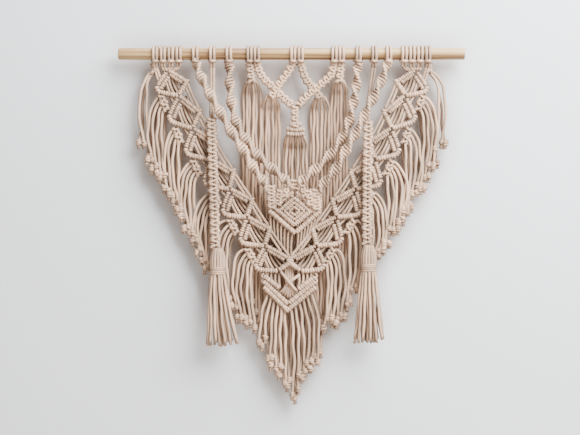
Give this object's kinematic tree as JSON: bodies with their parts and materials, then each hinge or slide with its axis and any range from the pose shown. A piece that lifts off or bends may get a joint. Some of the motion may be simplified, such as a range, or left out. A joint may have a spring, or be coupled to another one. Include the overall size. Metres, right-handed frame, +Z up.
{
  "type": "macrame wall hanging on a wooden dowel",
  "caption": "Cotton macrame wall hanging on a round wooden dowel, knotted in a V with net bands, spirals, a central diamond, tassels and a fringe that ends in a point.",
  "frame": {"origin": "middle of the dowel's axis, halfway between its sawn ends", "axes": "+X along the dowel to the right as seen from the front, +Y towards the wall, +Z up; the front faces -Y"},
  "size_m": [0.45, 0.0374, 0.4643],
  "materials": {
    "cotton": "smooth twisted natural cotton cord, matt with a soft sheen",
    "wood": "pale sanded pine, unvarnished"
  },
  "bodies": {
    "root": {"dowel": "wood", "lattice": "cotton", "band_left": "cotton", "sennit_left": "cotton", "tassel_left": "cotton", "fringe_left_1": "cotton", "fringe_left_2": "cotton", "fringe_left_3": "cotton", "fringe_left_4": "cotton", "fringe_left_5": "cotton", "fringe_left_6": "cotton", "fringe_left_7": "cotton", "band_right": "cotton", "sennit_right": "cotton", "tassel_right": "cotton", "fringe_right_1": "cotton", "fringe_right_2": "cotton", "fringe_right_3": "cotton", "fringe_right_4": "cotton", "fringe_right_5": "cotton", "fringe_right_6": "cotton", "fringe_right_7": "cotton", "spiral_left_outer": "cotton", "spiral_left_inner": "cotton", "spiral_right_inner": "cotton", "spiral_right_outer": "cotton", "curtain_1": "cotton", "curtain_2": "cotton", "curtain_3": "cotton", "curtain_4": "cotton", "curtain_5": "cotton", "diamond": "cotton", "diamond_fringe": "cotton", "chevron": "cotton", "tip_fringe": "cotton"}
  },
  "joints": []
}
